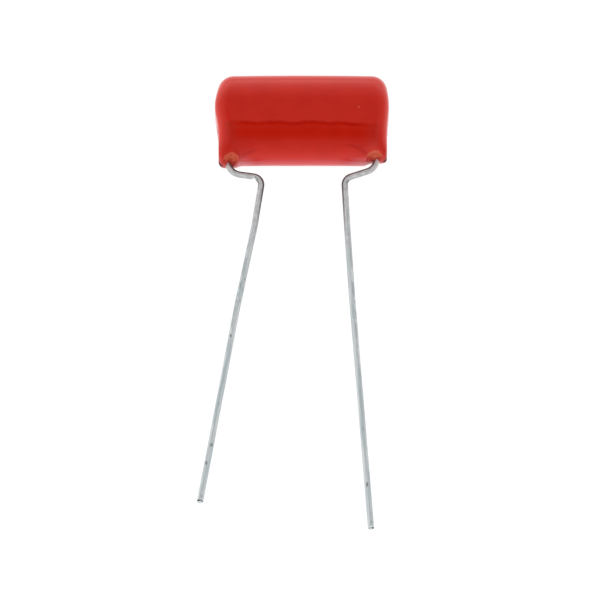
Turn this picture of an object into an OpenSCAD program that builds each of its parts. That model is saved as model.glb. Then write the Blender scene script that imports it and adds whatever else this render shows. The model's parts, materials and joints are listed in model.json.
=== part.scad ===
// Dipped film capacitor: a flattened film winding with a metal contact on each end, a kinked
// lead soldered to each contact, and a dipped resin coating round it all.
// It lies on its broad side, as it comes to rest. X runs along the winding, the leads point
// to -Y, and the origin is the middle of the flat underside.

/* [Coated body] */
// Length along the winding
body_length = 20; // [18:0.5:26]
// Height from the lead side to the far side
body_height = 10.95; // [10:0.05:13]
// Thickness between the broad sides
body_thickness = 6.2; // [5.5:0.1:8]
// Width of the flat strip on each broad side
flat_width = 2.8; // [1.6:0.2:4]
// Rounding round each end
end_rounding = 1.7; // [1.2:0.1:2.2]
// Resin over the winding's broad sides
side_coat = 0.6; // [0.45:0.05:0.9]
// Resin over the winding's round edges
edge_coat = 1.1; // [1:0.05:1.4]
// Resin over the leads at each end
end_coat = 1.05; // [0.9:0.05:1.4]
// Height above the middle at which the ends belly out
belly_height = 1.2; // [0:0.05:2]
// Spread of the bellies, up and down the end
belly_spread = 2.3; // [1.5:0.1:4]
// Belly of the left end
left_belly = 0.45; // [0:0.05:0.5]
// Belly of the right end
right_belly = 0.25; // [0:0.05:0.5]
// Sag of the far edge from the middle of the body to its ends
edge_crown = 0.12; // [0:0.02:0.3]

/* [Broken collars] */
// Half width of the resin collar round each lead, along the body
collar_reach = 1.1; // [1:0.05:1.6]
// Half width of that collar through the thickness, as an angle round the section
collar_angle = 42; // [30:1:50]
// Rounding of the body's end at the left collar
left_collar_rounding = 0.5; // [0.3:0.05:1]
// Rounding of the body's end at the right collar
right_collar_rounding = 0.8; // [0.3:0.05:1]
// How far the left collar swells out of the body
left_collar_swell = 0.25; // [0.1:0.05:0.5]
// How far the right collar swells out of the body; below zero it has lost its front
right_collar_swell = -0.35; // [-0.35:0.05:0.5]
// How far the left collar sits inward of its lead
left_collar_inset = 0.25; // [0:0.05:0.4]
// How far the right collar sits inward of its lead
right_collar_inset = 0.05; // [0:0.05:0.4]
// Swell of the web of resin that runs from each collar along the body
web_swell = 0.04; // [0:0.02:0.16]
// Reach of that web along the body
web_reach = 3; // [2:0.1:4]
// Angle round the section from the lead up to a web's edge, at the collar
web_start = 17; // [10:1:30]
// How much that angle grows with each millimetre from the collar
web_climb = 8; // [0:0.5:9]
// Length of the hollow broken out of each collar, along the lead
chip_length = 2.8; // [2:0.1:4]
// Width of the left hollow along the body
left_chip_width = 2.3; // [2:0.1:3]
// Width of the right hollow along the body
right_chip_width = 2.7; // [2:0.1:3]
// Height of the left hollow through the thickness
left_chip_height = 3.2; // [3:0.1:4]
// Height of the right hollow through the thickness
right_chip_height = 3.7; // [3:0.1:4]
// Depth of the left break above the body's lower edge
left_chip_depth = 0.7; // [0.5:0.05:0.95]
// Depth of the right break above the body's lower edge
right_chip_depth = 1; // [0.5:0.05:1.05]
// How far the left break sits above the lead
left_chip_rise = 1.65; // [1.4:0.05:1.9]
// How far the right break sits above the lead
right_chip_rise = 1.75; // [1.4:0.05:1.9]
// How far the left break lies inward of the middle of its collar
left_chip_shift = 0.3; // [0:0.05:0.4]
// How far the right break lies inward of the middle of its collar
right_chip_shift = 0.2; // [0:0.05:0.4]
// Lean of the left break toward the middle of the body
left_chip_lean = 15; // [0:1:25]
// Lean of the right break toward the middle of the body
right_chip_lean = 0; // [0:1:25]
// Unevenness of the broken faces, as a share of their size
chip_roughness = 0.04; // [0:0.01:0.08]

/* [Inside] */
// Thickness of the metal contact on each end of the winding
contact_thickness = 0.3; // [0.2:0.05:0.5]
// Bare margin of the winding round each contact
contact_margin = 0.2; // [0.1:0.05:0.4]
// Depth of the groove in which each lead beds into its contact
lead_bed = 0.08; // [0.04:0.02:0.14]
// Radius of the solder bead on each contact
bead_radius = 1.6; // [1.2:0.1:2]
// Solder over the lead at the top of its bead
bead_cover = 0.2; // [0.1:0.05:0.3]
// How far each lead runs past the middle of its contact
lead_reach = 2.2; // [2.1:0.1:3]

/* [Wire] */
// Diameter of the tinned wire
wire_diameter = 0.72; // [0.5:0.02:0.9]
// Radius of the turn as the wire leaves the body, at the middle of the wire
root_radius = 0.75; // [0.6:0.05:0.9]
// Radius of the shoulder, from the neck to the jog
shoulder_radius = 1.6; // [1.2:0.1:1.9]
// Radius of the knee, from the jog to the leg
knee_radius = 1; // [0.7:0.05:1.2]
// Radius of the slight bows along the legs
bow_radius = 40; // [20:5:60]
// Share of its diameter that the wire loses where it is bent
bend_thinning = 0.005; // [0.005:0.005:0.05]
// Slant of the cut ends
cut_slant = 25; // [0:5:40]
// Length that the cut takes off the longest edge of the wire
cut_back = 0.05; // [0.02:0.01:0.2]

/* [Left lead] */
// Depth above the body's lower edge at which the wire first turns
left_root = 0.25; // [0:0.05:0.6]
// Run from that turn to the shoulder
left_neck = 1.55; // [1.35:0.05:2.5]
// Heading of the neck, toward the middle
left_neck_angle = 26; // [18:1:40]
// Run from the shoulder to the knee
left_jog = 3.45; // [2.5:0.05:4.5]
// Heading of the jog, toward the middle
left_jog_angle = 81.5; // [60:0.5:85]
// First run of the leg
left_upper_leg = 6; // [4:0.5:12]
// Splay of the first run, outward
left_upper_splay = 8.8; // [0:0.1:15]
// Second run of the leg
left_middle_leg = 9.8; // [6:0.1:15]
// Splay of the second run, outward
left_middle_splay = 11.4; // [0:0.1:15]
// Last run of the leg, straight to the cut end
left_lower_leg = 23.45; // [12:0.05:30]
// Splay of the last run, outward
left_lower_splay = 10.1; // [0:0.1:15]

/* [Right lead] */
// Depth above the body's lower edge at which the wire first turns
right_root = 0.55; // [0:0.05:0.6]
// Run from that turn to the shoulder
right_neck = 1.2; // [1.2:0.05:2.5]
// Heading of the neck, toward the middle
right_neck_angle = 16; // [12:1:40]
// Run from the shoulder to the knee
right_jog = 3.6; // [2.5:0.1:4.5]
// Heading of the jog, toward the middle
right_jog_angle = 71; // [60:0.5:75]
// First run of the leg
right_upper_leg = 6; // [4:0.5:12]
// Splay of the first run, outward
right_upper_splay = 3.1; // [0:0.1:15]
// Second run of the leg
right_middle_leg = 8.5; // [6:0.1:15]
// Splay of the second run, outward
right_middle_splay = 3.6; // [0:0.1:15]
// Last run of the leg, straight to the cut end
right_lower_leg = 27.25; // [12:0.05:30]
// Splay of the last run, outward
right_lower_splay = 4.3; // [0:0.1:15]

/* [Hidden] */

LEFT = -1;
RIGHT = 1;
UP = [0, 0, 1];

// The middle plane of the body, which holds both leads, and the body's edges
mid_z = body_thickness / 2;
edge_y = body_height / 2;
wire_r = wire_diameter / 2;

// The winding fills the coating, less the resin, the leads and the contacts
winding_thickness = body_thickness - 2 * side_coat;
winding_height = body_height - 2 * edge_coat;
lead_x = body_length / 2 - end_coat - wire_r;
contact_face_x = lead_x - wire_r + lead_bed;
contact_x = contact_face_x - contact_thickness;
winding_length = 2 * contact_x;

// The section of the coating: two flats joined by half ellipses
flat_half = flat_width / 2;
side_y = edge_y - flat_half;
side_z = mid_z;

// Facets of the coating's skin
side_steps = 24;
flat_steps = 4;
length_steps = 24;
rounding_steps = 6;
cap_steps = 4;
// Share of the half thickness over which an end cap is stepped before it closes on a point
cap_reach = 0.9;
// Over what angle round the section a web runs out into the body
web_spread = 9;

// Facets of a broken face, round the lead and along it
chip_turns = 20;
chip_bands = 10;

function sq(x) = x * x;
function unit(v) = v / norm(v);
function mix(a, b, t) = a + (b - a) * t;
function left_or_right(side, left, right) = side == LEFT ? left : right;
function near_side(x) = x < 0 ? LEFT : RIGHT;

// The section as [middle of its curve, angle] pairs, anticlockwise seen from +X
function half_turn(y, from) = [for (i = [0:side_steps]) [y, from + 180 * i / side_steps]];
function flat_run(from, to, angle) =
    [for (i = [1:flat_steps - 1]) [mix(from, to, i / flat_steps), angle]];
section = concat(
    half_turn(flat_half, -90),
    flat_run(flat_half, -flat_half, 90),
    half_turn(-flat_half, 90),
    flat_run(-flat_half, flat_half, 270)
);

// A point of the section, drawn in from the skin by an inset
function section_point(s, inset) = [
    s[0] + max(side_y - inset, 0) * cos(s[1]),
    (side_z - inset) * sin(s[1])
];

// Distance from the middle to an end of the body, which bellies out above its middle
function end_x(side, y) =
    body_length / 2
    - left_or_right(side, left_belly, right_belly) * (1 - exp(-sq((y - belly_height) / belly_spread)));

// Rings of the skin from the left end to the right, as [side, share of the straight length,
// angle round the end, inset of the end cap]
cap_insets = [for (i = [1:cap_steps]) mix(end_rounding, cap_reach * side_z, i / cap_steps)];
rings = concat(
    [for (i = [cap_steps - 1:-1:0]) [LEFT, 1, 90, cap_insets[i]]],
    [for (i = [rounding_steps:-1:1]) [LEFT, 1, 90 * i / rounding_steps, 0]],
    [for (i = [0:length_steps])
        let (t = sin(180 * i / length_steps - 90))
        [near_side(t), abs(t), 0, 0]],
    [for (i = [1:rounding_steps]) [RIGHT, 1, 90 * i / rounding_steps, 0]],
    [for (i = [0:cap_steps - 1]) [RIGHT, 1, 90, cap_insets[i]]]
);

// The collars, as a share of their full height: along the body and round its section
function collar_x(side) =
    side * (lead_x - left_or_right(side, left_collar_inset, right_collar_inset));
function from_collar(x) = x - collar_x(near_side(x));
function collar_round(s) = exp(-sq(sq((s[1] - 180) / collar_angle)));
// The web from a collar is an apron round the lead, and its edge climbs away from the collar
function web_angle(x) = web_start + web_climb * abs(from_collar(x));
function web_round(x, s) = exp(-sq(max(abs(s[1] - 180) - web_angle(x), 0) / web_spread));
function swell_at(x, s) =
    left_or_right(near_side(x), left_collar_swell, right_collar_swell)
    * collar_round(s) * exp(-sq(sq(from_collar(x) / collar_reach)))
    + web_swell * web_round(x, s) * exp(-sq(from_collar(x) / web_reach));

// The end is rounded all round, and nearly square where it meets a collar
function rounding_at(side, s) =
    mix(end_rounding, left_or_right(side, left_collar_rounding, right_collar_rounding), collar_round(s));
function crown_at(x, y) = y > 0 ? edge_crown * sq(2 * x / body_length) * y / edge_y : 0;

function skin_point(ring, s) =
    let (
        rounding = rounding_at(ring[0], s),
        p = section_point(s, max(ring[3], rounding * (1 - cos(ring[2])))),
        x = ring[0] * (ring[1] * (end_x(ring[0], p[0]) - rounding) + rounding * sin(ring[2]))
    )
    [
        x,
        p[0] + swell_at(x, s) * cos(s[1]) - crown_at(x, p[0]),
        mid_z + p[1] + swell_at(x, s) * sin(s[1])
    ];

// A closed solid lofted through rings of points, each anticlockwise seen from the last ring's
// end, with one more point to close each end
module closed_loft(rings, tips) {
    around = len(rings[0]);
    points = [for (ring = rings) each ring];
    last = len(points) - around;
    walls = [
        for (i = [0:around:last - 1])
            for (j = [0:around - 1])
                let (
                    a = i + j,
                    b = i + (j + 1) % around
                )
                each [[a, a + around, b], [b, a + around, b + around]]
    ];
    first_cap = [for (j = [0:around - 1]) [len(points), j, (j + 1) % around]];
    last_cap = [for (j = [0:around - 1]) [len(points) + 1, last + (j + 1) % around, last + j]];
    polyhedron(concat(points, tips), concat(walls, first_cap, last_cap), convexity = 4);
}

module skin() {
    closed_loft(
        [for (ring = rings) [for (s = section) skin_point(ring, s)]],
        [for (side = [LEFT, RIGHT]) [side * end_x(side, belly_height), belly_height, mid_z]]
    );
}

// The uneven hollow broken out of a collar: a lumpy ellipsoid, its axis along the lead
function lump(turn, tilt, side) =
    1 + chip_roughness * cos(tilt) * (sin(5 * turn + 60 * side) + sin(8 * turn + 3 * tilt));
function chip_point(turn, tilt, side) =
    lump(turn, tilt, side) * [
        left_or_right(side, left_chip_width, right_chip_width) / 2 * cos(tilt) * sin(turn),
        chip_length / 2 * sin(tilt),
        left_or_right(side, left_chip_height, right_chip_height) / 2 * cos(tilt) * cos(turn)
    ];
module chip(side) {
    depth = left_or_right(side, left_chip_depth, right_chip_depth);
    rise = left_or_right(side, left_chip_rise, right_chip_rise);
    shift = left_or_right(side, left_chip_shift, right_chip_shift);
    lean = left_or_right(side, left_chip_lean, right_chip_lean);
    translate([collar_x(side) - side * shift, depth - edge_y - chip_length / 2, mid_z + rise])
        rotate([0, -side * lean, 0])
            closed_loft(
                [for (i = [1:chip_bands - 1])
                    [for (j = [0:chip_turns - 1])
                        chip_point(360 * j / chip_turns, 180 * i / chip_bands - 90, side)]],
                [for (tilt = [-90, 90]) chip_point(0, tilt, side)]
            );
}

// A bar along X with the flattened section of the winding, standing on the face at x
module flattened_bar(x, length, height, thickness) {
    translate([x, 0, mid_z])
        rotate([90, 0, 90])
            linear_extrude(length)
                union() {
                    square([height - thickness, thickness], center = true);
                    for (y = [-1, 1] * (height - thickness) / 2)
                        translate([y, 0])
                            circle(thickness / 2, $fn = 64);
                }
}

module winding() {
    flattened_bar(-contact_x, winding_length, winding_height, winding_thickness);
}

module contact(side) {
    flattened_bar(
        left_or_right(side, -contact_face_x, contact_x),
        contact_thickness,
        winding_height - 2 * contact_margin,
        winding_thickness - 2 * contact_margin
    );
}

// The dome of solder over a lead, flat against its contact
module bead(side) {
    height = wire_diameter - lead_bed + bead_cover;
    dome_r = (sq(bead_radius) + sq(height)) / (2 * height);
    translate([side * contact_face_x, 0, mid_z])
        rotate([0, side * 90, 0])
            intersection() {
                translate([0, 0, height - dome_r])
                    sphere(dome_r, $fn = 96);
                cylinder(h = height, r = 2 * bead_radius, $fn = 48);
            }
}

// Sets children with their Z axis along z and their X axis along x
module place(at, x, z) {
    y = cross(z, x);
    multmatrix([
        [x[0], y[0], z[0], at[0]],
        [x[1], y[1], z[1], at[1]],
        [x[2], y[2], z[2], at[2]]
    ])
        children();
}

// The route of a lead: out of the body, inward along the jog, then down the leg to the surface
function lead_runs(side) = left_or_right(
    side,
    [left_neck, left_jog, left_upper_leg, left_middle_leg, left_lower_leg],
    [right_neck, right_jog, right_upper_leg, right_middle_leg, right_lower_leg]
);
function lead_headings(side) = left_or_right(
    side,
    [left_neck_angle, left_jog_angle, -left_upper_splay, -left_middle_splay, -left_lower_splay],
    [right_neck_angle, right_jog_angle, -right_upper_splay, -right_middle_splay, -right_lower_splay]
);
LEG_START = 2;

// Slope of the leg that brings its cut end down to the surface
function droop(runs) =
    asin((mid_z - wire_r) / (runs[LEG_START] + runs[LEG_START + 1] + runs[LEG_START + 2]));
function run_step(side, i) =
    let (
        runs = lead_runs(side),
        heading = lead_headings(side)[i],
        fall = i < LEG_START ? 0 : droop(runs)
    )
    runs[i] * [
        -side * sin(heading) * cos(fall),
        -cos(heading) * cos(fall),
        -sin(fall)
    ];
function run_end(side, i) =
    i < 0 ? [side * lead_x, left_or_right(side, left_root, right_root) - edge_y, mid_z]
    : run_end(side, i - 1) + run_step(side, i);
function lead_path(side) = concat(
    [[side * lead_x, lead_reach, mid_z]],
    [for (i = [-1:len(lead_runs(side)) - 1]) run_end(side, i)]
);
lead_bends = [0, root_radius, shoulder_radius, knee_radius, bow_radius, bow_radius, 0];
bend_lap = 0.02;
// A corner that turns less than this is straight
least_bend = 0.01;

// Direction of a run, the angle of the bend at a corner and how far the bend starts before it
function heading_at(path, i) = unit(path[i + 1] - path[i]);
function bend_angle(path, i) = acos(min(heading_at(path, i - 1) * heading_at(path, i), 1));
function setback(path, i) =
    i == 0 || i == len(path) - 1 ? 0 : lead_bends[i] * tan(bend_angle(path, i) / 2);

// A straight run, which laps a little way over the bends at its ends
module straight_run(path, i) {
    along = heading_at(path, i);
    start = i == 0 ? 0 : setback(path, i) - bend_lap;
    end = norm(path[i + 1] - path[i]) - (i == len(path) - 2 ? 0 : setback(path, i + 1) - bend_lap);
    place(path[i] + along * start, unit(cross(UP, along)), along)
        cylinder(h = end - start, r = wire_r, $fn = 48);
}

module bend(path, i) {
    before = heading_at(path, i - 1);
    after = heading_at(path, i);
    inward = unit(after - before * (before * after));
    start = path[i] - before * setback(path, i);
    place(start + inward * lead_bends[i], -inward, cross(before, inward))
        rotate_extrude(angle = bend_angle(path, i), $fn = 96)
            translate([lead_bends[i], 0])
                circle(wire_r * (1 - bend_thinning), $fn = 48);
}

// What the side cutter took off the end of a lead, leaving its lower edge longest
module cut_off(path) {
    last = len(path) - 1;
    along = heading_at(path, last - 1);
    size = 6 * wire_r;
    place(path[last], unit(cross(UP, along)), along)
        translate([0, -wire_r, -cut_back])
            rotate([-cut_slant, 0, 0])
                translate([-size / 2, -wire_r, 0])
                    cube(size);
}

module lead(side) {
    path = lead_path(side);
    difference() {
        union() {
            for (i = [0:len(path) - 2])
                straight_run(path, i);
            for (i = [1:len(path) - 2])
                if (bend_angle(path, i) > least_bend)
                    bend(path, i);
        }
        cut_off(path);
    }
}

module dip_coating() {
    color("firebrick")
        difference() {
            skin();
            winding();
            for (side = [LEFT, RIGHT]) {
                chip(side);
                contact(side);
                bead(side);
                lead(side);
            }
        }
}

module film_winding() {
    color("tan")
        winding();
}

module end_contact_left() {
    color("darkgray")
        difference() {
            contact(LEFT);
            lead(LEFT);
        }
}

module end_contact_right() {
    color("darkgray")
        difference() {
            contact(RIGHT);
            lead(RIGHT);
        }
}

module solder_joint_left() {
    color("lightgray")
        difference() {
            bead(LEFT);
            lead(LEFT);
        }
}

module solder_joint_right() {
    color("lightgray")
        difference() {
            bead(RIGHT);
            lead(RIGHT);
        }
}

module lead_left() {
    color("silver")
        lead(LEFT);
}

module lead_right() {
    color("silver")
        lead(RIGHT);
}

dip_coating();
film_winding();
end_contact_left();
end_contact_right();
solder_joint_left();
solder_joint_right();
lead_left();
lead_right();
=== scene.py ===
import json
import math

import bpy
import numpy as np
from mathutils import Matrix, Vector, noise


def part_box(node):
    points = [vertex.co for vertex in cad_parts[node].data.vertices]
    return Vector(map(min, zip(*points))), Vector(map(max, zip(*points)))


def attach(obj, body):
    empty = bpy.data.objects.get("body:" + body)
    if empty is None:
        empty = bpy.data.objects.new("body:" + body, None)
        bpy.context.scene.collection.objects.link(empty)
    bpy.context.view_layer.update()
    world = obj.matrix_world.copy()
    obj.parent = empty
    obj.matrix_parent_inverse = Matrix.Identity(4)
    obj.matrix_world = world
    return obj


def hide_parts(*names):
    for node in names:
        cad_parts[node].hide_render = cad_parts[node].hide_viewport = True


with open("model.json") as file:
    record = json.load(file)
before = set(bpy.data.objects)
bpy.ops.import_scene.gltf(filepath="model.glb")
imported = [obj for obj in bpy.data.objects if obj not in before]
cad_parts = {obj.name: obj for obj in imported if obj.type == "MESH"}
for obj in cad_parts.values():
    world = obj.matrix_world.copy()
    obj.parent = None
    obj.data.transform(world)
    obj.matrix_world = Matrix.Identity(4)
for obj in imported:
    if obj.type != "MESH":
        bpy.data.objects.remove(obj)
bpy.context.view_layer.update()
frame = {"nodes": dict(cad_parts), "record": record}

# Lengths are in millimetres until a mesh or the camera is made
MM = 0.001
LEFT, RIGHT = -1, 1
SIDES = (LEFT, RIGHT)


def box_mm(node):
    """Lowest and highest corner of a solid."""
    return [np.array(corner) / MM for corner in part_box(node)]


def mix(a, b, share):
    """What lies this share of the way from one value to another."""
    return a + (b - a) * share


def bell(x):
    """1 at zero, falling away smoothly on both sides."""
    return np.exp(-x * x)


def unit(v):
    """A vector made 1 long."""
    return v / np.linalg.norm(v)


# The body's and the wire's sizes, as built
body_low, body_high = box_mm("dip_coating")
HALF_LENGTH = (body_high[0] - body_low[0]) / 2
MID_Z = (body_low[2] + body_high[2]) / 2
EDGE_Y = body_high[1]
PINS = {mount["name"]: mount for mount in frame["record"]["mounts"] if mount["kind"] == "pin"}
WIRE_R = PINS["lead_right_end"]["dims"]["r_mm"]
LEAD_X = box_mm("lead_right")[1][0] - WIRE_R

# The coating: flats, elliptical sides, ends that belly out, a far edge that sags to its ends
FLAT_HALF = 1.4
SIDE_Y = EDGE_Y - FLAT_HALF
SIDE_Z = MID_Z
END_ROUNDING = 1.7
BELLY_HEIGHT = 1.2
BELLY_SPREAD = 2.3
BELLY = {LEFT: 0.45, RIGHT: 0.25}
EDGE_CROWN = 0.12

# Slow waves left in the skin as the resin ran off
WAVE_DEPTH = 0.008
WAVE_LENGTH = 3.2

# The front edge of the flats: how far back it lies, its waves, and its sag on the right
FLAT_BACK = 0.08
WANDER = 0.22
WANDER_LENGTH = 2.6
WANDER_WAVES = (0.6, 3, 4)  # smoothness, ratio and number of the waves
FLAT_SAG = 0.45
SAG_FROM = 5.0

# The collars of resin round the leads, and the webs that run from them along the body
COLLAR_X = {LEFT: LEAD_X - 0.25, RIGHT: LEAD_X - 0.05}
COLLAR_REACH = 1.1
COLLAR_ANGLE = math.radians(42)
COLLAR_ROUNDING = {LEFT: 0.5, RIGHT: 0.8}
COLLAR_SWELL = {LEFT: 0.25, RIGHT: -0.35}
WEB_SWELL = 0.04
WEB_START = math.radians(17)
WEB_CLIMB = math.radians(8)
WEB_SPREAD = math.radians(9)
WEB_REACH = 3

# The hollows broken out of the collars, their lumps and their grain
CHIP_WIDTH = {LEFT: 2.3, RIGHT: 2.9}
CHIP_LENGTH = 2.8
CHIP_HEIGHT = {LEFT: 3.2, RIGHT: 3.7}
CHIP_DEPTH = {LEFT: 0.7, RIGHT: 1.0}
CHIP_RISE = {LEFT: 1.65, RIGHT: 1.75}
CHIP_SHIFT = {LEFT: 0.3, RIGHT: 0.1}
CHIP_LEAN = {LEFT: math.radians(15), RIGHT: 0}
BREAK_X = {side: COLLAR_X[side] - CHIP_SHIFT[side] for side in SIDES}
CHIP_LUMPS = 0.04
LOBES = (5, 8)
LOBE_TURN = math.radians(60)
LOBE_TWIST = 3
CHIP_GRAIN = 0.035
CHIP_GRAIN_LENGTH = 0.18

# Creases in the upper skin beside the collars, each a faint dent darkened with painted shade: start
# and end in plan, and how far each bows
CREASES = (
    ((-7.1, -5.15), (-4.7, -4.4), 0.12),
    ((-7.1, -5.15), (-7.7, -4.3), 0),
    ((7.5, -4.9), (4.7, -4.05), -0.28),
)
CREASE_WIDTH = (0.36, 0.20)

# The corners of the collars, darkened with painted shade, and a speck in the upper skin
SHADED_CORNERS = ((-9.5, -5.5, MID_Z), (9.8, -5.05, MID_Z))
CORNER_SIZE = 0.7
SPECK = (6.51, 0.34, 2 * MID_Z)
SPECK_SIZE = 0.2

# Dark marks on the wire: place, size, and how far each is drawn out along the wire
WIRE_MARKS = (
    ((-10.75, -41.1, 1.0), 0.2, 1.8),
    ((-8.05, -26.15, 2.05), 0.17, 2.0),
    ((-10.16, -38.97, 1.15), 0.23, 1.4),
    ((7.31, -43.67, 1.0), 0.2, 2.2),
    ((-5.3, -7.22, 3.4), 0.15, 1),
    ((-5.13, -7.42, 3.4), 0.17, 1),
    ((-5.02, -7.75, 3.4), 0.15, 1),
)
MARK_CORE = 0.3  # share of a mark's size that is at full strength

# The polished flat at the left knee, whitened with a painted highlight, and how far the leads' painted
# shade on the inner edge leans up
KNEE_FLAT = (-5.5, -7.45, 3.1)
KNEE_FLAT_SIZE = 0.38
INNER_LEAN = math.radians(22)

# The wire's cut end: a slant that fades along the wire, and a slight flattening
CUT_SLANT = math.radians(25)
CUT_BLEND = 1.2
PINCH = 0.1
PINCH_REACH = 0.45

# Mesh steps of the coating, of a break and of a wire, and the angle of a sharp edge
SIDE_STEPS = 72
FLAT_STEPS = 14
LENGTH_STEPS = 200
ROUNDING_STEPS = 20
CAP_STEPS = 12
CAP_REACH = 0.95
CHIP_ROUND_STEPS = 96
CHIP_LENGTH_STEPS = 64
WIRE_STEP = 0.1
WIRE_SIDES = 36
SHARP_ANGLE = math.radians(38)

# The view: the picture's pixels, the camera's height and distance, and where the body sits
PICTURE = 600
ELEVATION = math.radians(68)
DISTANCE = 600
PIXELS_PER_MM = 8.705
BODY_AT = (301.85, 120.75)
SENSOR = 36
CLIP_START = 10

# The light table, and a tent that is bright at its foot and dims to its top, its sides and its right
TABLE_HALF = 1500
TABLE_GLOW = 0.94
FOOT_LIGHT = 1.475
TOP_DIMMING = 1.133
SIDE_DIMMING = 0.3
RIGHT_DIMMING = 0.28
BACK_LIGHT = 0.21
BACK_GLOW = 0.09

# The tent's dark slot: steps of darkness in degrees from the back over the top, and where it ends
SLOT_STEPS = ((0.95, 68.3, 70), (-0.55, 79, 81.5), (0.4, 83.5, 87))
SLOT_END = (102, 124)

# Colours of the resin's skin
RESIN_RED = (0.80, 0.0174, 0.0043, 1)
RESIN_BRIGHT = (0.85, 0.0206, 0.006, 1)
# Painted shade and painted dark reflection, laid on the front line, the creases, the front ends and
# the dark band
RESIN_PAINTED_SHADE = (0.69, 0.0115, 0.0032, 1)
RESIN_VEILED = (0.74, 0.025, 0.012, 1)
# Painted reflection of the white table, low on the front: pink, paler toward the ends
RESIN_PAINTED_SHEEN = (0.80, 0.086, 0.098, 1)
RESIN_PAINTED_GLARE = (0.92, 0.24, 0.26, 1)
RESIN_SHADED = (0.55, 0.035, 0.035, 1)
# Painted shade at the collars' corners
RESIN_CORNER_SHADE = (0.11, 0.010, 0.014, 1)
RESIN_SPECK = (1.0, 0.11, 0.07, 1)

# Colours of the broken resin: where it is torn, lower down, and round the lead, where the darker red
# is painted shade
TORN_DARK = (0.64, 0.088, 0.038, 1)
TORN_LIGHT = (0.86, 0.16, 0.086, 1)
HOLLOW_DARK = (0.68, 0.042, 0.026, 1)
HOLLOW_LIGHT = (0.88, 0.088, 0.058, 1)
SOCKET_SHADE = (0.58, 0.032, 0.014, 1)

# Colours of the tin plate
TIN_GREY = (0.70, 0.80, 0.83, 1)
TIN_BRIGHT = (0.97, 1.0, 1.0, 1)
TIN_PRESSED = (0.62, 0.59, 0.60, 1)
TIN_RAISED = (1.0, 0.98, 0.98, 1)
TIN_SHADED = (0.32, 0.38, 0.40, 1)
# Painted shade along both edges of the wire
TIN_EDGE_SHADE = (0.32, 0.37, 0.39, 1)
# Painted light, tinted pink by a painted reflection of the red body, where the wire leaves the body
TIN_ROOT_LIGHT = (1.0, 0.93, 0.92, 1)
# Painted shade on the inner edge of each lead
TIN_INNER_SHADE = (0.10, 0.075, 0.08, 1)
# Painted shade of a pliers' mark on the outer edge just below each knee
TIN_KNEE_MARK_SHADE = (0.18, 0.17, 0.17, 1)
TIN_PITTED = (0.14, 0.14, 0.14, 1)
# Painted shade along the shear ridge of each cut face
TIN_RIDGE_SHADE = (0.02, 0.02, 0.02, 1)

# Colours of the inner pieces and of the stage
FILM_DARK = (0.30, 0.21, 0.11, 1)
FILM_LIGHT = (0.52, 0.40, 0.24, 1)
METAL_DARK = (0.28, 0.28, 0.29, 1)
METAL_LIGHT = (0.52, 0.52, 0.53, 1)
SOLDER_DARK = (0.60, 0.61, 0.62, 1)
SOLDER_LIGHT = (0.78, 0.79, 0.80, 1)
TABLE_GREY = (0.2, 0.2, 0.2, 1)
WHITE = (1, 1, 1, 1)


class Term:
    """A shader socket that takes part in Python sums: each operator adds its node."""

    def __init__(self, socket):
        self.socket = socket

    @classmethod
    def make(cls, tree, kind, settings=(), sockets=(), out=0):
        """Adds a node: first its settings, then the values or links of its sockets."""
        node = tree.nodes.new("ShaderNode" + kind)
        for name, value in dict(settings).items():
            setattr(node, name, value)
        for name, value in dict(sockets).items():
            cls.feed(node.inputs[name], value)
        return cls(node.outputs[out])

    @classmethod
    def feed(cls, socket, value):
        """Links a term to a socket, or sets the socket to a plain value."""
        if isinstance(value, cls):
            socket.id_data.links.new(value.socket, socket)
        else:
            socket.default_value = value

    def node(self, kind, settings=(), sockets=(), out=0):
        """Adds a node to this term's own tree."""
        return Term.make(self.socket.id_data, kind, settings, sockets, out)

    def math(self, operation, *values):
        return self.node("Math", {"operation": operation}, dict(enumerate((self, *values))))

    def vector_math(self, operation, vector, out):
        return self.node("VectorMath", {"operation": operation}, {0: self, 1: vector}, out)

    def __add__(self, other):
        return self.math("ADD", other)

    def __sub__(self, other):
        return self.math("SUBTRACT", other)

    def __rsub__(self, other):
        return self.node("Math", {"operation": "SUBTRACT"}, {0: other, 1: self})

    def __mul__(self, other):
        return self.math("MULTIPLY", other)

    __radd__ = __add__
    __rmul__ = __mul__

    def __abs__(self):
        return self.math("ABSOLUTE")

    def smooth(self, low, high):
        """0 below low and 1 above high, with a soft step between."""
        settings = {"interpolation_type": "SMOOTHSTEP"}
        return self.node("MapRange", settings, {"Value": self, "From Min": low, "From Max": high})

    def band(self, start, full, fading, end):
        """1 from full to fading, 0 before start and past end, with a soft step on each side."""
        return self.smooth(start, full) * self.smooth(end, fading)

    def blend(self, low, high):
        """A colour mixed from two by this share: 6 and 7 are a Mix node's sockets for colours."""
        return self.node("Mix", {"data_type": "RGBA"}, {0: self, 6: low, 7: high}, out=2)

    def times(self, vector):
        return self.vector_math("MULTIPLY", vector, "Vector")

    def distance(self, point):
        return self.vector_math("DISTANCE", point, "Value")

    def dot(self, vector):
        return self.vector_math("DOT_PRODUCT", vector, "Value")

    def axes(self):
        """The three parts of a vector."""
        return [self.dot(axis) for axis in np.eye(3)]

    def attribute(self, name, out):
        """What the mesh carries at its points under this name."""
        return self.node("Attribute", {"attribute_name": name}, out=out)

    def noise(self, scale=1.0, detail=2.0, roughness=0.5):
        sockets = {"Vector": self, "Scale": scale, "Detail": detail, "Roughness": roughness}
        return self.node("TexNoise", sockets=sockets)

    def bump(self, height_mm):
        """A normal that follows this height, which runs from 0 to 1."""
        sockets = {"Height": self, "Strength": 1.0, "Distance": height_mm * MM}
        return self.node("Bump", sockets=sockets, out="Normal")


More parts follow.
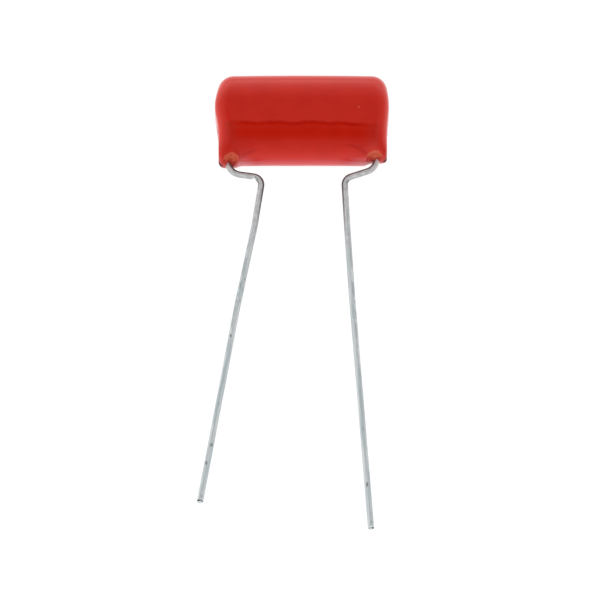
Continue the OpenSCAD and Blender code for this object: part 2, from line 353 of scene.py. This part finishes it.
def material(recipe):
    """A material named for its recipe, which turns a place on the surface into shader values."""
    made = bpy.data.materials.new(recipe.__name__)
    made.use_nodes = True
    tree = made.node_tree
    at = Term.make(tree, "TexCoord", out="Object").times((1 / MM,) * 3)
    shader = tree.nodes["Principled BSDF"]
    for socket, value in recipe(at).items():
        Term.feed(shader.inputs[socket], value)
    return made


def layered(colour, *coats):
    """A colour under coats of others, from the lowest up, each given by its share and colour."""
    for share, tint in coats:
        colour = share.blend(colour, tint)
    return colour


def spot(at, point, size, length=1):
    """A small mark on the surface, 1 at its middle, drawn out along Y."""
    squeeze = np.array((1, 1 / length, 1))
    return at.times(squeeze).distance(squeeze * point).smooth(size, MARK_CORE * size)


def crease(at, start, end, bow):
    """A faint crease in the upper skin between two points in plan, bowed, narrowing to its end, used
    for a dent and for painted shade.
    """
    start, end = np.array(start), np.array(end)
    length = np.linalg.norm(end - start)
    along = (end - start) / length
    across = np.array((-along[1], along[0]))
    share = (at.dot((*along, 0)) - along @ start) * (1 / length)
    offset = at.dot((*across, 0)) - across @ start - 4 * bow * share * (1 - share)
    line = abs(offset).smooth(mix(*CREASE_WIDTH, share), 0)
    upper = at.dot((0, 0, 1)).smooth(MID_Z, MID_Z + 0.3)
    return line * share.band(-0.1, 0.1, 0.5, 1.1) * upper


def painted_dark_reflection(at, aside, ahead):
    """A painted dark reflection: the wavy line along the front edge of the flat, stronger in blotches.
    """
    mottle = at.times((1.6, 0.3, 0.3)).noise(detail=3.0).smooth(0.25, 0.6)
    return ahead.band(-0.06, 0.14, 0.36, 0.6) * aside.smooth(7.9, 6.3) * (0.45 + 0.55 * mottle)


def red_resin(at):
    """Glossy dipped resin: deep red, pinker low in front with a painted reflection, dark with painted
    shade and rough at the collars' corners.
    """
    x, y, z = at.axes()
    aside = abs(x)
    ahead = at.attribute("ahead", "Fac")
    front = y.smooth(-2.4, -4.0)
    low = z.smooth(MID_Z + 1.6, MID_Z + 0.1) * front
    shade = aside.smooth(4.0, 7.5) * front * (1 - low)
    # Painted dark reflection: a band on the front slope below the front line
    painted_dark_band = ahead.band(0.5, 0.9, 1.4, 2.6) * aside.smooth(7.4, 5.6)
    veil = aside.band(6.8, 8.1, 8.4, 9.3) * ahead.band(0, 0.2, 2.0, 3.2)
    # Creases: a faint dent in the normal, and painted shade in the colour
    creases_and_shade = sum(crease(at, *line) for line in CREASES)
    # Painted shade at the collars' corners, where the resin is also rougher
    corners = sum(spot(at, corner, CORNER_SIZE) for corner in SHADED_CORNERS)
    cloud = at.noise(0.35, detail=3.0).smooth(0.3, 0.7)
    # Painted reflection of the table, paler toward the ends
    pale = aside.smooth(5.0, 7.0).blend(RESIN_PAINTED_SHEEN, RESIN_PAINTED_GLARE)
    colour = layered(
        cloud.blend(RESIN_RED, RESIN_BRIGHT),
        # Painted shade and painted dark reflection: front line, creases, front ends and dark band
        (painted_dark_reflection(at, aside, ahead) + creases_and_shade + 0.4 * shade + 0.3 * painted_dark_band, RESIN_PAINTED_SHADE),
        (veil, RESIN_VEILED),
        # Low in front: painted reflection of the table, with painted shade at the ends
        (low, aside.smooth(7.2, 7.9).blend(pale, RESIN_SHADED)),
        (corners, RESIN_CORNER_SHADE),
        (0.7 * spot(at, SPECK, SPECK_SIZE), RESIN_SPECK),
    )
    return {
        "Base Color": colour,
        "Roughness": 0.10 + 0.05 * at.noise(1.2) + 0.85 * corners,
        "Normal": (0.1 * at.noise(0.9, detail=1.5) - 0.6 * creases_and_shade).bump(0.03),
        "IOR": 1.36,
    }


def broken_resin(at):
    """The matte, lighter body of the resin where the skin has broken away, darker round the lead with
    painted shade.
    """
    x, z = at.dot((1, 0, 0)), at.dot((0, 0, 1))
    grain = at.noise(9.0, detail=4.0, roughness=0.65)
    mottle = 0.4 * grain.smooth(0.3, 0.7) + 0.6 * at.noise(2.6).smooth(0.38, 0.62)
    # The breaks lie this far to each side of a place near the body's middle
    half = (BREAK_X[RIGHT] + BREAK_X[LEFT]) / 2
    middle = (BREAK_X[RIGHT] - BREAK_X[LEFT]) / 2
    from_lead = abs(x - middle) - half
    torn = (z + 0.5 * grain - 0.7 * from_lead * from_lead).smooth(MID_Z + 0.6, MID_Z + 0.95)
    colour = layered(
        mottle.blend(HOLLOW_DARK, HOLLOW_LIGHT),
        # Painted shade in the hollow round the lead
        ((from_lead * from_lead).smooth(0.5, 0.1), SOCKET_SHADE),
        (torn, mottle.blend(TORN_DARK, TORN_LIGHT)),
    )
    return {
        "Base Color": colour,
        "Roughness": 0.30 + 0.4 * torn,
        "Specular IOR Level": 0.25,
        "Normal": grain.bump(0.03),
    }


def inner_edge_shade(y, above, outward):
    """Painted shade on the inner side of each lead, from the body down past the knee."""
    inward = math.sin(INNER_LEAN) * above - math.cos(INNER_LEAN) * outward
    return (inward + 0.16 * y.smooth(-8.6, -7.4)).smooth(0.7, 0.9) * y.smooth(-16, -8)


def sheared_ridge_shade(x, across, above, along, outward):
    """Painted shade along the ridge that shearing left across each cut face, fainter on its inner
    half.
    """
    right = x.smooth(-1, 1)
    bow = above + 0.45 * across * across + 0.45 * right
    ridge = along.smooth(0.0, -0.08) * bow.band(0.0, 0.15, 0.65, 0.85)
    faintest = 0.75 - 0.45 * right
    return ridge * (faintest + (1 - faintest) * outward.smooth(0, 0.6))


def tinned_wire(at):
    """Satin tin plate: draw lines, lumps near the body, painted shade on its sides and edges, painted
    light at its root and knee, dark marks and a sheared end.
    """
    x, y = at.dot((1, 0, 0)), at.dot((0, 1, 0))
    run = at.attribute("run", "Vector")
    across, above, along = run.times((1 / WIRE_R, 1 / WIRE_R, 1)).axes()
    outward = across * x.math("SIGN")
    near = y.smooth(-21, -8)
    lines = run.times((7.0, 7.0, 0.3)).noise(detail=3.0).smooth(0.36, 0.6)
    lumps = run.times((3.0, 3.0, 1.7)).noise().smooth(0.38, 0.62)
    patches = run.times((1.5, 1.5, 0.6)).noise(detail=3.0)
    pits = run.times((2.4, 2.4, 0.8)).noise(detail=1.5).smooth(0.66, 0.76)
    marks = sum(spot(at, *mark) for mark in WIRE_MARKS)
    # How strong the painted shade on the sides and edges is: stronger near the body
    shade_strength = 0.24 + 0.41 * y.smooth(-32, -16)
    shaded = outward.band(-0.1, 0.35, 0.6, 1.0) * (1 - near) * patches.smooth(0.36, 0.54)
    inner = inner_edge_shade(y, above, outward)
    # Painted shade of a pliers' mark below each knee
    knee_mark_shade = outward.smooth(0.45, 0.8) * y.band(-8.8, -8.0, -7.6, -7.3)
    shine = spot(at, KNEE_FLAT, KNEE_FLAT_SIZE)
    colour = layered(
        lines.blend(TIN_GREY, TIN_BRIGHT),
        (0.6 * near, lumps.blend(TIN_PRESSED, TIN_RAISED)),
        (shade_strength * shaded, TIN_SHADED),
        (shade_strength * (across * across).smooth(0.3, 1.0), TIN_EDGE_SHADE),
        # Painted light with a pink cast where the wire leaves the body
        (0.6 * y.smooth(-6.6, -5.4), TIN_ROOT_LIGHT),
        # Painted shade on the inner edge
        (0.88 * inner, TIN_INNER_SHADE),
        (0.75 * knee_mark_shade, TIN_KNEE_MARK_SHADE),
        # Painted white highlight on the polished flat, which is also metallic and smoother
        (shine, WHITE),
        ((0.6 * pits + 0.8 * marks) * (0.6 + 0.4 * lines), TIN_PITTED),
        (sheared_ridge_shade(x, across, above, along, outward), TIN_RIDGE_SHADE),
    )
    return {
        "Base Color": colour,
        "Metallic": 0.1 + 0.9 * shine,
        "Roughness": 0.40 + 0.25 * patches + 0.3 * inner - 0.35 * shine,
        "Specular IOR Level": 0.2,
        "Normal": (lines + lumps * near + 0.5 * patches).bump(0.008),
    }


def wound_film(at):
    """The edge of the wound film, turn on turn."""
    turns = at.times((0.2, 0.2, 14.0)).noise()
    return {
        "Base Color": turns.blend(FILM_DARK, FILM_LIGHT),
        "Roughness": 0.4,
        "Normal": turns.bump(0.01),
    }


def sprayed_metal(at):
    """Dull metal sprayed on the winding's ends."""
    grain = at.noise(6.0, detail=4.0, roughness=0.7)
    return {
        "Base Color": grain.blend(METAL_DARK, METAL_LIGHT),
        "Metallic": 0.7,
        "Roughness": 0.6,
        "Normal": grain.bump(0.04),
    }


def solder(at):
    """Smooth bright solder."""
    flow = at.noise(1.4)
    return {
        "Base Color": flow.blend(SOLDER_DARK, SOLDER_LIGHT),
        "Metallic": 1.0,
        "Roughness": 0.2 + 0.15 * flow,
    }


def pale_table(at):
    """White board lit from below, the same all over."""
    return {
        "Base Color": TABLE_GREY,
        "Roughness": 0.9,
        "Specular IOR Level": 0.0,
        "Emission Color": WHITE,
        "Emission Strength": TABLE_GLOW,
    }


def loft(name, rings, tips, made):
    """A closed mesh through rings of points, anticlockwise seen from the last, and two tips."""
    count, around = rings.shape[:2]
    ring, step = np.mgrid[0:count - 1, 0:around]
    here = ring * around + step
    beside = ring * around + (step + 1) % around
    quads = np.stack([here, beside, beside + around, here + around], axis=-1).reshape(-1, 4)
    first_tip, last_tip = count * around, count * around + 1
    last_ring = (count - 1) * around
    rim = [(i, (i + 1) % around) for i in range(around)]
    caps = [(first_tip, b, a) for a, b in rim]
    caps += [(last_tip, last_ring + a, last_ring + b) for a, b in rim]
    points = np.concatenate([rings.reshape(-1, 3), np.array(tips)]) * MM
    mesh = bpy.data.meshes.new(name)
    mesh.from_pydata(points.tolist(), [], quads.tolist() + caps)
    mesh.materials.append(made)
    mesh.polygons.foreach_set("use_smooth", [True] * len(mesh.polygons))
    piece = bpy.data.objects.new(name, mesh)
    bpy.context.scene.collection.objects.link(piece)
    return piece


def coat_section():
    """Round the coating, anticlockwise seen from the right: middle of the curve, and angle."""
    half = np.linspace(0, math.pi, SIDE_STEPS + 1)
    flat = np.linspace(FLAT_HALF, -FLAT_HALF, FLAT_STEPS + 1)[1:-1]
    level = np.ones_like(half)
    middle = np.concatenate([level * FLAT_HALF, flat, -level * FLAT_HALF, -flat])
    upward, downward = np.full_like(flat, 0.5 * math.pi), np.full_like(flat, 1.5 * math.pi)
    angle = np.concatenate([half - 0.5 * math.pi, upward, half + 0.5 * math.pi, downward])
    return middle, angle


def coat_rings():
    """Rings from the left end to the right: side, share of the straight, turn round the end, inset."""
    insets = np.linspace(END_ROUNDING, CAP_REACH * SIDE_Z, CAP_STEPS + 1)[1:]
    turns = np.linspace(0, 0.5 * math.pi, ROUNDING_STEPS + 1)[1:]
    shares = np.sin(np.linspace(-0.5 * math.pi, 0.5 * math.pi, LENGTH_STEPS + 1))
    right_end = [(RIGHT, 1, turn, 0) for turn in turns]
    right_end += [(RIGHT, 1, turns[-1], inset) for inset in insets]
    left_end = [(LEFT, *ring[1:]) for ring in reversed(right_end)]
    straight = [(LEFT if share < 0 else RIGHT, abs(share), 0, 0) for share in shares]
    return np.array(left_end + straight + right_end).T[:, :, None]


def by_side(x, sizes):
    """The size that belongs to the side on which x lies."""
    return np.where(x < 0, sizes[LEFT], sizes[RIGHT])


def end_x(side, y):
    """How far the end on a side reaches out at a place across the body."""
    return HALF_LENGTH - by_side(side, BELLY) * (1 - bell((y - BELLY_HEIGHT) / BELLY_SPREAD))


def wander(share):
    """How far the front edge of the flats strays, by the share of the straight length."""
    places = share * HALF_LENGTH
    waves = [noise.fractal((place / WANDER_LENGTH, 0, 0), *WANDER_WAVES) for place in places.ravel()]
    sag = np.maximum(places - SAG_FROM, 0) / (HALF_LENGTH - SAG_FROM)
    return FLAT_BACK + WANDER * np.array(waves)[:, None] - FLAT_SAG * sag


def coat_skin():
    """The points of the coating's skin, ring by ring, and how far each lies ahead of the flats."""
    side, share, turn, inset = coat_rings()
    middle, angle = coat_section()
    round_lead = np.abs(angle - math.pi)
    collar_round = bell((round_lead / COLLAR_ANGLE) ** 2)
    rounding = mix(END_ROUNDING, by_side(side, COLLAR_ROUNDING), collar_round)
    inset = np.maximum(inset, rounding * (1 - np.cos(turn)))
    edge = wander(side * share)
    stray = edge * np.maximum(-middle, 0) / FLAT_HALF
    y = middle + stray + np.maximum(SIDE_Y + stray - inset, 0) * np.cos(angle)
    z = MID_Z + (SIDE_Z - inset) * np.sin(angle)
    x = side * (share * (end_x(side, y) - rounding) + rounding * np.sin(turn))
    from_collar = np.abs(np.abs(x) - by_side(x, COLLAR_X))
    web_round = bell(np.maximum(round_lead - WEB_START - WEB_CLIMB * from_collar, 0) / WEB_SPREAD)
    swell = by_side(x, COLLAR_SWELL) * collar_round * bell((from_collar / COLLAR_REACH) ** 2)
    swell += WEB_SWELL * web_round * bell(from_collar / WEB_REACH)
    crown = EDGE_CROWN * (x / HALF_LENGTH) ** 2 * np.maximum(y, 0) / EDGE_Y
    skin = x, y + swell * np.cos(angle) - crown, z + swell * np.sin(angle)
    return np.stack(np.broadcast_arrays(*skin), axis=-1), edge - FLAT_HALF - y


def ripple(piece, depth, length, seed):
    """Sinks a skin by a slow wave, so that nothing stands out of it."""
    mesh = piece.data
    points = np.empty(3 * len(mesh.vertices), np.float32)
    normals = np.empty_like(points)
    mesh.vertices.foreach_get("co", points)
    mesh.vertex_normals.foreach_get("vector", normals)
    places = points.reshape(-1, 3) / (length * MM) + (seed, 0, 0)
    waves = np.array([noise.noise(place) for place in places])
    sunk = depth * MM * np.clip(0.5 + 0.5 * waves, 0, 1)
    mesh.vertices.foreach_set("co", points - normals * np.repeat(sunk, 3))
    mesh.update()


def break_cutter(side, made):
    """The lumpy, grainy hollow that a break leaves round a lead."""
    tilt = np.linspace(-0.5 * math.pi, 0.5 * math.pi, CHIP_LENGTH_STEPS + 1)[1:-1, None]
    turn = np.linspace(0, 2 * math.pi, CHIP_ROUND_STEPS, endpoint=False)[None, :]
    few, many = LOBES
    lobes = np.sin(few * turn + side * LOBE_TURN) + np.sin(many * turn + LOBE_TWIST * tilt)
    lump = 1 + CHIP_LUMPS * np.cos(tilt) * lobes
    across = CHIP_WIDTH[side] / 2 * lump * np.cos(tilt) * np.sin(turn)
    above = CHIP_HEIGHT[side] / 2 * lump * np.cos(tilt) * np.cos(turn)
    lean = -side * CHIP_LEAN[side]
    ball = np.stack([
        across * math.cos(lean) + above * math.sin(lean),
        CHIP_LENGTH / 2 * lump * np.sin(tilt),
        above * math.cos(lean) - across * math.sin(lean),
    ], axis=-1)
    centre = np.array([
        side * BREAK_X[side],
        CHIP_DEPTH[side] - EDGE_Y - CHIP_LENGTH / 2,
        MID_Z + CHIP_RISE[side],
    ])
    tips = [centre - (0, CHIP_LENGTH / 2, 0), centre + (0, CHIP_LENGTH / 2, 0)]
    cutter = loft("break", centre + ball, tips, made)
    ripple(cutter, CHIP_GRAIN, CHIP_GRAIN_LENGTH, side)
    return cutter


def carve(piece, cutter):
    """Cuts one mesh out of another; the cut faces keep the cutter's finish."""
    cut = piece.modifiers.new("cut", "BOOLEAN")
    cut.operation = "DIFFERENCE"
    cut.object = cutter
    cut.solver = "EXACT"
    cut.material_mode = "TRANSFER"
    whole = piece.data
    carved = piece.evaluated_get(bpy.context.evaluated_depsgraph_get())
    piece.data = bpy.data.meshes.new_from_object(carved)
    piece.modifiers.clear()
    bpy.data.meshes.remove(whole)
    bpy.data.objects.remove(cutter)


def make_coating(skin_finish, break_finish):
    """The dipped skin with a break round each lead."""
    tips = [(side * end_x(side, BELLY_HEIGHT), BELLY_HEIGHT, MID_Z) for side in SIDES]
    skin, ahead = coat_skin()
    coating = loft("coating", skin, tips, skin_finish)
    place = coating.data.attributes.new("ahead", "FLOAT", "POINT")
    place.data.foreach_set("value", np.append(ahead.ravel(), (-EDGE_Y, -EDGE_Y)))
    ripple(coating, WAVE_DEPTH, WAVE_LENGTH, 0)
    for side in SIDES:
        carve(coating, break_cutter(side, break_finish))
    coating.data.set_sharp_from_angle(angle=SHARP_ANGLE)
    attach(coating, "root")
    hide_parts("dip_coating")


def slice_middle(triangles, at, along):
    """The middle of the outline that a plane across a wire cuts from its solid, near a point."""
    height = (triangles - at) @ along
    crossed = (height.min(axis=1) < 0) & (height.max(axis=1) > 0)
    triangles, height = triangles[crossed], height[crossed]
    ends = []
    for a, b in ((0, 1), (1, 2), (2, 0)):
        with np.errstate(divide="ignore", invalid="ignore"):
            share = height[:, a] / (height[:, a] - height[:, b])
            point = mix(triangles[:, a], triangles[:, b], share[:, None])
        inside = (share > 0) & (share < 1)
        ends.append(np.where(inside[:, None], point, np.nan))
    middle = np.nanmean(ends, axis=0)
    length = np.nansum(np.linalg.norm(np.array(ends) - middle, axis=2), axis=0)
    near = np.linalg.norm(middle - at, axis=1) < 2 * WIRE_R
    if not near.any():
        return None
    return np.average(middle[near], axis=0, weights=length[near])


def wire_route(node, pin):
    """Points along the middle of a lead, from its cut end into the body, read off its solid."""
    solid = frame["nodes"][node].data
    solid.calc_loop_triangles()
    corners = np.array([vertex.co for vertex in solid.vertices]) / MM
    triangles = corners[np.array([triangle.vertices for triangle in solid.loop_triangles])]
    along = -unit(np.array(pin["axis"]))
    at = np.array(pin["pos_m"]) / MM
    tip = at + along * (corners[:, 1].min() - at[1]) / along[1]
    steps = int(np.linalg.norm(at - tip) / WIRE_STEP)
    route = [mix(tip, at, i / steps) for i in range(steps + 1)]
    while at is not None:
        at = slice_middle(triangles, at + along * WIRE_STEP, along)
        if at is not None:
            along = unit(at - route[-1])
            route.append(at)
    return np.array(route)


def wire_rings(route):
    """Rings of the wire's skin along its route, and each point's place round and along the wire."""
    heading = np.gradient(route, axis=0)
    heading /= np.linalg.norm(heading, axis=1)[:, None]
    along = np.concatenate([[0], np.cumsum(np.linalg.norm(np.diff(route, axis=0), axis=1))])
    turn = np.linspace(0, 2 * math.pi, WIRE_SIDES, endpoint=False)
    across = np.cos(turn) * WIRE_R
    side = unit(np.cross(heading[0], (0, 0, 1)))
    rings, runs = [], []
    for i, at in enumerate(route):
        side = unit(side - heading[i] * (side @ heading[i]))
        up = np.cross(side, heading[i])
        above = np.sin(turn) * WIRE_R * (1 - PINCH * bell(along[i] / PINCH_REACH))
        slant = (above + WIRE_R) * math.tan(CUT_SLANT) * max(0, 1 - along[i] / CUT_BLEND)
        rings.append(at + across[:, None] * side + above[:, None] * up + slant[:, None] * heading[i])
        runs.append(np.stack([across, above, np.full_like(turn, along[i])], axis=-1))
    return np.array(rings), np.array(runs)


def make_lead(node, pin, made):
    """A tinned lead on its solid's own route, with a sheared end."""
    route = wire_route(node, pin)
    rings, runs = wire_rings(route)
    tips = [rings[0].mean(axis=0), route[-1]]
    lead = loft(node + "_wire", rings[:, ::-1], tips, made)
    place = lead.data.attributes.new("run", "FLOAT_VECTOR", "POINT")
    # The middle of the cut face counts as before the wire's start, which tells that face from the skin
    ends = np.array([(0, 0, -1), runs[-1].mean(axis=0)])
    place.data.foreach_set("vector", np.concatenate([runs[:, ::-1].reshape(-1, 3), ends]).ravel())
    lead.data.set_sharp_from_angle(angle=SHARP_ANGLE)
    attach(lead, "root")
    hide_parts(node)


def dress(nodes, made):
    """Gives solids that stay as they are a better finish."""
    for node in nodes:
        slots = frame["nodes"][node].data.materials
        slots.clear()
        slots.append(made)


def make_camera():
    """A long lens that looks down on the part as it lies."""
    right = Vector((1, 0, 0))
    up = Vector((0, math.sin(ELEVATION), math.cos(ELEVATION)))
    forward = up.cross(right)
    shift_x = (BODY_AT[0] - PICTURE / 2) / PIXELS_PER_MM
    shift_y = (PICTURE / 2 - BODY_AT[1]) / PIXELS_PER_MM
    location = Vector((0, 0, MID_Z)) - forward * DISTANCE - right * shift_x - up * shift_y
    lens = bpy.data.cameras.new("camera")
    lens.sensor_width = SENSOR
    lens.lens = SENSOR * PIXELS_PER_MM * DISTANCE / PICTURE
    lens.clip_start = CLIP_START * MM
    camera = bpy.data.objects.new("camera", lens)
    turned = Matrix((right, up, -forward)).transposed().to_4x4()
    camera.matrix_world = Matrix.Translation(location * MM) @ turned
    bpy.context.scene.collection.objects.link(camera)
    bpy.context.scene.camera = camera


def make_floor():
    """A pale light table under the part."""
    half = TABLE_HALF * MM
    mesh = bpy.data.meshes.new("light_table")
    corners = [(-half, -half, 0), (half, -half, 0), (half, half, 0), (-half, half, 0)]
    mesh.from_pydata(corners, [], [(0, 1, 2, 3)])
    mesh.materials.append(material(pale_table))
    floor = bpy.data.objects.new("light_table", mesh)
    bpy.context.scene.collection.objects.link(floor)


def make_tent():
    """A white light tent: bright round its foot, dimmer higher up, with an open slot at the top."""
    world = bpy.data.worlds.new("light_tent")
    world.use_nodes = True
    tree = world.node_tree
    across, back, rise = Term.make(tree, "TexCoord", out="Generated").axes()

    def past(start, end):
        """0 to 1 between two heights, in degrees from the back of the tent over its top."""
        return back.smooth(math.cos(math.radians(start)), math.cos(math.radians(end)))

    around = 1 - SIDE_DIMMING * across * across - RIGHT_DIMMING * across.smooth(0.4, 0.95)
    around = around + BACK_LIGHT * back + BACK_GLOW * back * back
    wall = (FOOT_LIGHT - TOP_DIMMING * rise) * around
    slot = sum(darkness * past(start, end) for darkness, start, end in SLOT_STEPS)
    sides = (across * across).smooth(0.0, 0.4)
    dark = slot * (1 - past(*SLOT_END)) * (1 - sides)
    background = tree.nodes["Background"]
    Term.feed(background.inputs["Color"], WHITE)
    Term.feed(background.inputs["Strength"], wall * (1 - dark))
    bpy.context.scene.world = world


make_camera()
make_floor()
make_tent()

make_coating(material(red_resin), material(broken_resin))
wire_finish = material(tinned_wire)
for lead_node in ("lead_left", "lead_right"):
    make_lead(lead_node, PINS[lead_node + "_end"], wire_finish)
dress(["film_winding"], material(wound_film))
dress(["end_contact_left", "end_contact_right"], material(sprayed_metal))
dress(["solder_joint_left", "solder_joint_right"], material(solder))

bpy.context.scene.view_settings.view_transform = "Standard"
